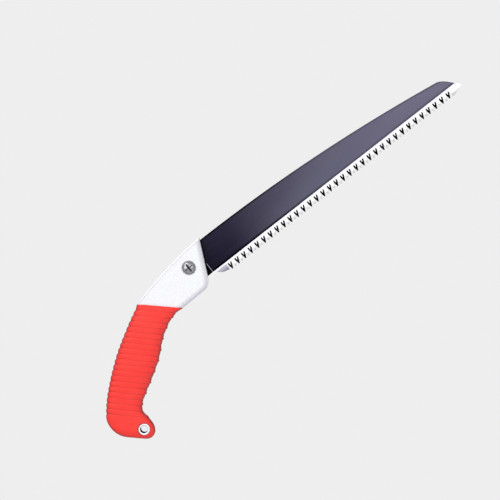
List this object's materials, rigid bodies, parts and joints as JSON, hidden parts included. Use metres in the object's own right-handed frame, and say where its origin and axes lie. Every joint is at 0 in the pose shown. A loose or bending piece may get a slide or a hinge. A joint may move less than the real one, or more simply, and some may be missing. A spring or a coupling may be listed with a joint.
{
  "type": "folding pruning saw",
  "caption": "Folding pruning saw: straight hollow-ground blade with tall bevelled teeth, pivoting in a white head on a curved handle with a ribbed red rubber grip and a hanging hole.",
  "frame": {"origin": "middle of the hanging hole in the butt, on the saw's middle plane", "axes": "+X along the tooth line from butt to nose of the open saw, +Z to the back of the blade, +Y away from the side with the screw head"},
  "size_m": [0.3496, 0.0222, 0.0915],
  "materials": {
    "blade_steel": "dark coated steel with a polished tooth strip",
    "liner_steel": "brushed",
    "head_paint": "gloss white paint on a casting",
    "grip_rubber": "satin moulded rubber with ribs",
    "spacer_nylon": "matt filled nylon",
    "bright_steel": "bright plated",
    "fitting_steel": "plated steel",
    "washer_bronze": "satin bronze"
  },
  "bodies": {
    "handle": {"left_liner": "liner_steel", "right_liner": "liner_steel", "left_frame": "head_paint", "right_frame": "head_paint", "spine_spacer": "spacer_nylon", "left_grip": "grip_rubber", "right_grip": "grip_rubber", "pivot_bolt": "bright_steel", "pivot_sleeve": "fitting_steel", "pivot_nut": "fitting_steel", "spring_washer": "fitting_steel", "left_thrust_washer": "washer_bronze", "right_thrust_washer": "washer_bronze", "lever_pin": "fitting_steel", "lever_spring": "bright_steel", "handle_screws": "fitting_steel", "left_eyelet": "bright_steel", "right_eyelet": "bright_steel"},
    "blade": {"blade": "blade_steel"},
    "lever": {"lock_lever": "fitting_steel"}
  },
  "joints": [
    {"name": "blade_fold", "type": "hinge", "parent": "handle", "child": "blade", "pos_m": [0.09631, 0, 0.07117], "axis": [0, 1, 0], "range_deg": [0, 140]},
    {"name": "lock_lever", "type": "hinge", "parent": "handle", "child": "lever", "pos_m": [0.07601, 0, 0.07626], "axis": [0, 1, 0], "range_deg": [0, 5], "stiffness_Nm_per_rad": 0.02, "springref_deg": 11.46, "deforming": ["lever_spring"]}
  ]
}
